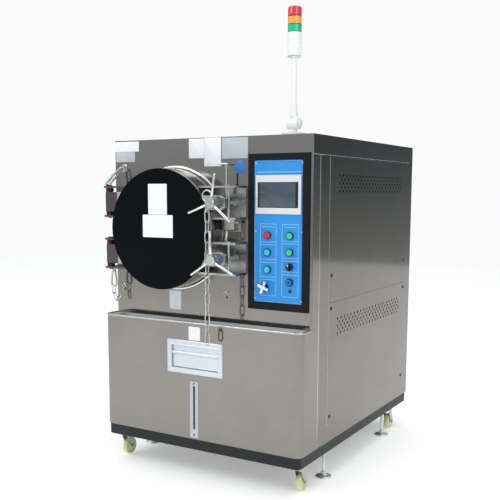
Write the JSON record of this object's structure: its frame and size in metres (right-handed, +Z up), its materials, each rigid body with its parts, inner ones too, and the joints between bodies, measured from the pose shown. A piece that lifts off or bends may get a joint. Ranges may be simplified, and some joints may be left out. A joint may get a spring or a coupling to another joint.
{
  "type": "pressure cooker accelerated ageing test chamber",
  "caption": "Free-standing stainless steam test chamber with a round clamped door, control panel, drip ledge, water filler, folding signal tower, casters and levelling feet.",
  "frame": {"origin": "on the floor, under the centre of the bounding box", "axes": "+X to the right of someone who faces the door, +Y from the front to the back, +Z up"},
  "size_m": [0.958, 1.325, 1.865],
  "materials": {
    "stainless": "satin brushed",
    "polished": "bright polished",
    "zinc": "zinc plated, satin",
    "black_paint": "semi-gloss",
    "frame_paint": "satin",
    "black_enamel": "semi-gloss",
    "blue_plate": "satin",
    "silicone": "matte",
    "brass": "turned",
    "bronze": "turned",
    "black_plastic": "matte",
    "grey_plastic": "fine texture",
    "screen_glass": "glossy",
    "red_plastic": "glossy",
    "teal_plastic": "glossy",
    "green_plastic": "glossy",
    "white_plastic": "satin",
    "green_lens": "translucent",
    "amber_lens": "translucent",
    "red_lens": "translucent",
    "cream_wheel": "satin"
  },
  "bodies": {
    "cabinet": {"base_frame": "black_paint", "chassis_frame": "frame_paint", "front_panel": "stainless", "lower_front_cover": "stainless", "drip_tray": "stainless", "top_cover": "stainless", "outer_walls": "stainless", "access_panels": "stainless", "panel_screws": "black_paint", "wall_fittings": "brass", "vessel_shell": "stainless", "vessel_flange": "stainless", "trim_ring": "polished", "specimen_rack": "stainless", "hinge_brackets": "zinc", "clamp_brackets": "zinc", "hinge_pins": "bronze", "interlock_switch": "zinc", "retaining_chains": "zinc", "control_frame": "stainless", "control_plate": "blue_plate", "hmi_bezel": "grey_plastic", "hmi_screen": "screen_glass", "control_rings": "polished", "gauge_frame": "stainless", "filler_frame": "stainless", "water_tank": "stainless", "tower_foot": "white_plastic"},
    "door": {"door_plate": "zinc", "door_cover": "black_enamel", "door_gasket": "silicone", "safety_chain": "zinc"},
    "star_handle_upper": {"star_handle_upper": "zinc"},
    "star_handle_lower": {"star_handle_lower": "zinc"},
    "lock_pin": {"lock_pin": "zinc"},
    "filler_flap": {"filler_flap": "stainless"},
    "tower": {"tower_mast": "white_plastic", "lens_green": "green_lens", "lens_amber": "amber_lens", "lens_red": "red_lens"},
    "selector_knob": {"selector_knob": "black_plastic"},
    "key_barrel": {"key_barrel": "polished"},
    "valve_handle": {"valve_handle": "black_plastic"},
    "button_red": {"button_red": "red_plastic"},
    "button_blue_upper": {"button_blue_upper": "teal_plastic"},
    "button_blue_lower": {"button_blue_lower": "teal_plastic"},
    "button_green_upper": {"button_green_upper": "green_plastic"},
    "button_green_lower": {"button_green_lower": "green_plastic"},
    "caster_fork_front_left": {"caster_fork_front_left": "zinc"},
    "caster_wheel_front_left": {"caster_wheel_front_left": "cream_wheel"},
    "foot_front_left": {"foot_front_left": "zinc"},
    "caster_fork_front_right": {"caster_fork_front_right": "zinc"},
    "caster_wheel_front_right": {"caster_wheel_front_right": "cream_wheel"},
    "foot_front_right": {"foot_front_right": "zinc"},
    "caster_fork_rear_left": {"caster_fork_rear_left": "zinc"},
    "caster_wheel_rear_left": {"caster_wheel_rear_left": "cream_wheel"},
    "foot_rear_left": {"foot_rear_left": "zinc"},
    "caster_fork_rear_right": {"caster_fork_rear_right": "zinc"},
    "caster_wheel_rear_right": {"caster_wheel_rear_right": "cream_wheel"},
    "foot_rear_right": {"foot_rear_right": "zinc"}
  },
  "joints": [
    {"name": "door_hinge", "type": "hinge", "parent": "cabinet", "child": "door", "pos_m": [-0.441, -0.5585, 1.024], "axis": [0, 0, -1], "range_deg": [0, 110]},
    {"name": "clamp_turn_upper", "type": "hinge", "parent": "door", "child": "star_handle_upper", "pos_m": [0.129, -0.6505, 1.133], "axis": [0, 1, 0], "continuous": true},
    {"name": "clamp_turn_lower", "type": "hinge", "parent": "door", "child": "star_handle_lower", "pos_m": [0.129, -0.6505, 0.915], "axis": [0, 1, 0], "continuous": true},
    {"name": "lock_pin_lift", "type": "slide", "parent": "cabinet", "child": "lock_pin", "axis": [0, 0, 1], "range_m": [0, 0.045]},
    {"name": "filler_flap_hinge", "type": "hinge", "parent": "cabinet", "child": "filler_flap", "pos_m": [-0.0055, -0.5605, 0.463], "axis": [1, 0, 0], "range_deg": [0, 60]},
    {"name": "tower_fold", "type": "hinge", "parent": "cabinet", "child": "tower", "pos_m": [0.36, -0.4225, 1.435], "axis": [-1, 0, 0], "range_deg": [0, 90]},
    {"name": "selector_turn", "type": "hinge", "parent": "cabinet", "child": "selector_knob", "pos_m": [0.3815, -0.4945, 0.889], "axis": [0, 1, 0], "range_deg": [0, 60]},
    {"name": "key_turn", "type": "hinge", "parent": "cabinet", "child": "key_barrel", "pos_m": [0.3815, -0.4945, 0.83], "axis": [0, 1, 0], "range_deg": [0, 90]},
    {"name": "valve_turn", "type": "hinge", "parent": "cabinet", "child": "valve_handle", "pos_m": [0.273, -0.5025, 0.805], "axis": [0, 1, 0], "range_deg": [0, 270]},
    {"name": "press_red", "type": "slide", "parent": "cabinet", "child": "button_red", "axis": [0, 1, 0], "range_m": [0, 0.003], "stiffness_N_per_m": 400},
    {"name": "press_blue_upper", "type": "slide", "parent": "cabinet", "child": "button_blue_upper", "axis": [0, 1, 0], "range_m": [0, 0.003], "stiffness_N_per_m": 400},
    {"name": "press_blue_lower", "type": "slide", "parent": "cabinet", "child": "button_blue_lower", "axis": [0, 1, 0], "range_m": [0, 0.003], "stiffness_N_per_m": 400},
    {"name": "press_green_upper", "type": "slide", "parent": "cabinet", "child": "button_green_upper", "axis": [0, 1, 0], "range_m": [0, 0.003], "stiffness_N_per_m": 400},
    {"name": "press_green_lower", "type": "slide", "parent": "cabinet", "child": "button_green_lower", "axis": [0, 1, 0], "range_m": [0, 0.003], "stiffness_N_per_m": 400},
    {"name": "caster_swivel_front_left", "type": "hinge", "parent": "cabinet", "child": "caster_fork_front_left", "pos_m": [-0.433, -0.4905, 0.115], "axis": [0, 0, 1], "continuous": true},
    {"name": "caster_roll_front_left", "type": "hinge", "parent": "caster_fork_front_left", "child": "caster_wheel_front_left", "pos_m": [-0.433, -0.4645, 0.0395], "axis": [1, 0, 0], "continuous": true},
    {"name": "caster_swivel_front_right", "type": "hinge", "parent": "cabinet", "child": "caster_fork_front_right", "pos_m": [0.433, -0.4905, 0.115], "axis": [0, 0, 1], "continuous": true},
    {"name": "caster_roll_front_right", "type": "hinge", "parent": "caster_fork_front_right", "child": "caster_wheel_front_right", "pos_m": [0.433, -0.4645, 0.0395], "axis": [1, 0, 0], "continuous": true},
    {"name": "caster_swivel_rear_left", "type": "hinge", "parent": "cabinet", "child": "caster_fork_rear_left", "pos_m": [-0.433, 0.4775, 0.115], "axis": [0, 0, 1], "continuous": true},
    {"name": "caster_roll_rear_left", "type": "hinge", "parent": "caster_fork_rear_left", "child": "caster_wheel_rear_left", "pos_m": [-0.433, 0.5035, 0.0395], "axis": [1, 0, 0], "continuous": true},
    {"name": "caster_swivel_rear_right", "type": "hinge", "parent": "cabinet", "child": "caster_fork_rear_right", "pos_m": [0.433, 0.4775, 0.115], "axis": [0, 0, 1], "continuous": true},
    {"name": "caster_roll_rear_right", "type": "hinge", "parent": "caster_fork_rear_right", "child": "caster_wheel_rear_right", "pos_m": [0.433, 0.5035, 0.0395], "axis": [1, 0, 0], "continuous": true},
    {"name": "foot_turn_front_left", "type": "hinge", "parent": "cabinet", "child": "foot_front_left", "pos_m": [-0.442, -0.2795, 0.02], "axis": [0, 0, 1], "continuous": true},
    {"name": "foot_turn_front_right", "type": "hinge", "parent": "cabinet", "child": "foot_front_right", "pos_m": [0.442, -0.2795, 0.02], "axis": [0, 0, 1], "continuous": true},
    {"name": "foot_turn_rear_left", "type": "hinge", "parent": "cabinet", "child": "foot_rear_left", "pos_m": [-0.442, 0.3835, 0.02], "axis": [0, 0, 1], "continuous": true},
    {"name": "foot_turn_rear_right", "type": "hinge", "parent": "cabinet", "child": "foot_rear_right", "pos_m": [0.442, 0.3835, 0.02], "axis": [0, 0, 1], "continuous": true}
  ]
}
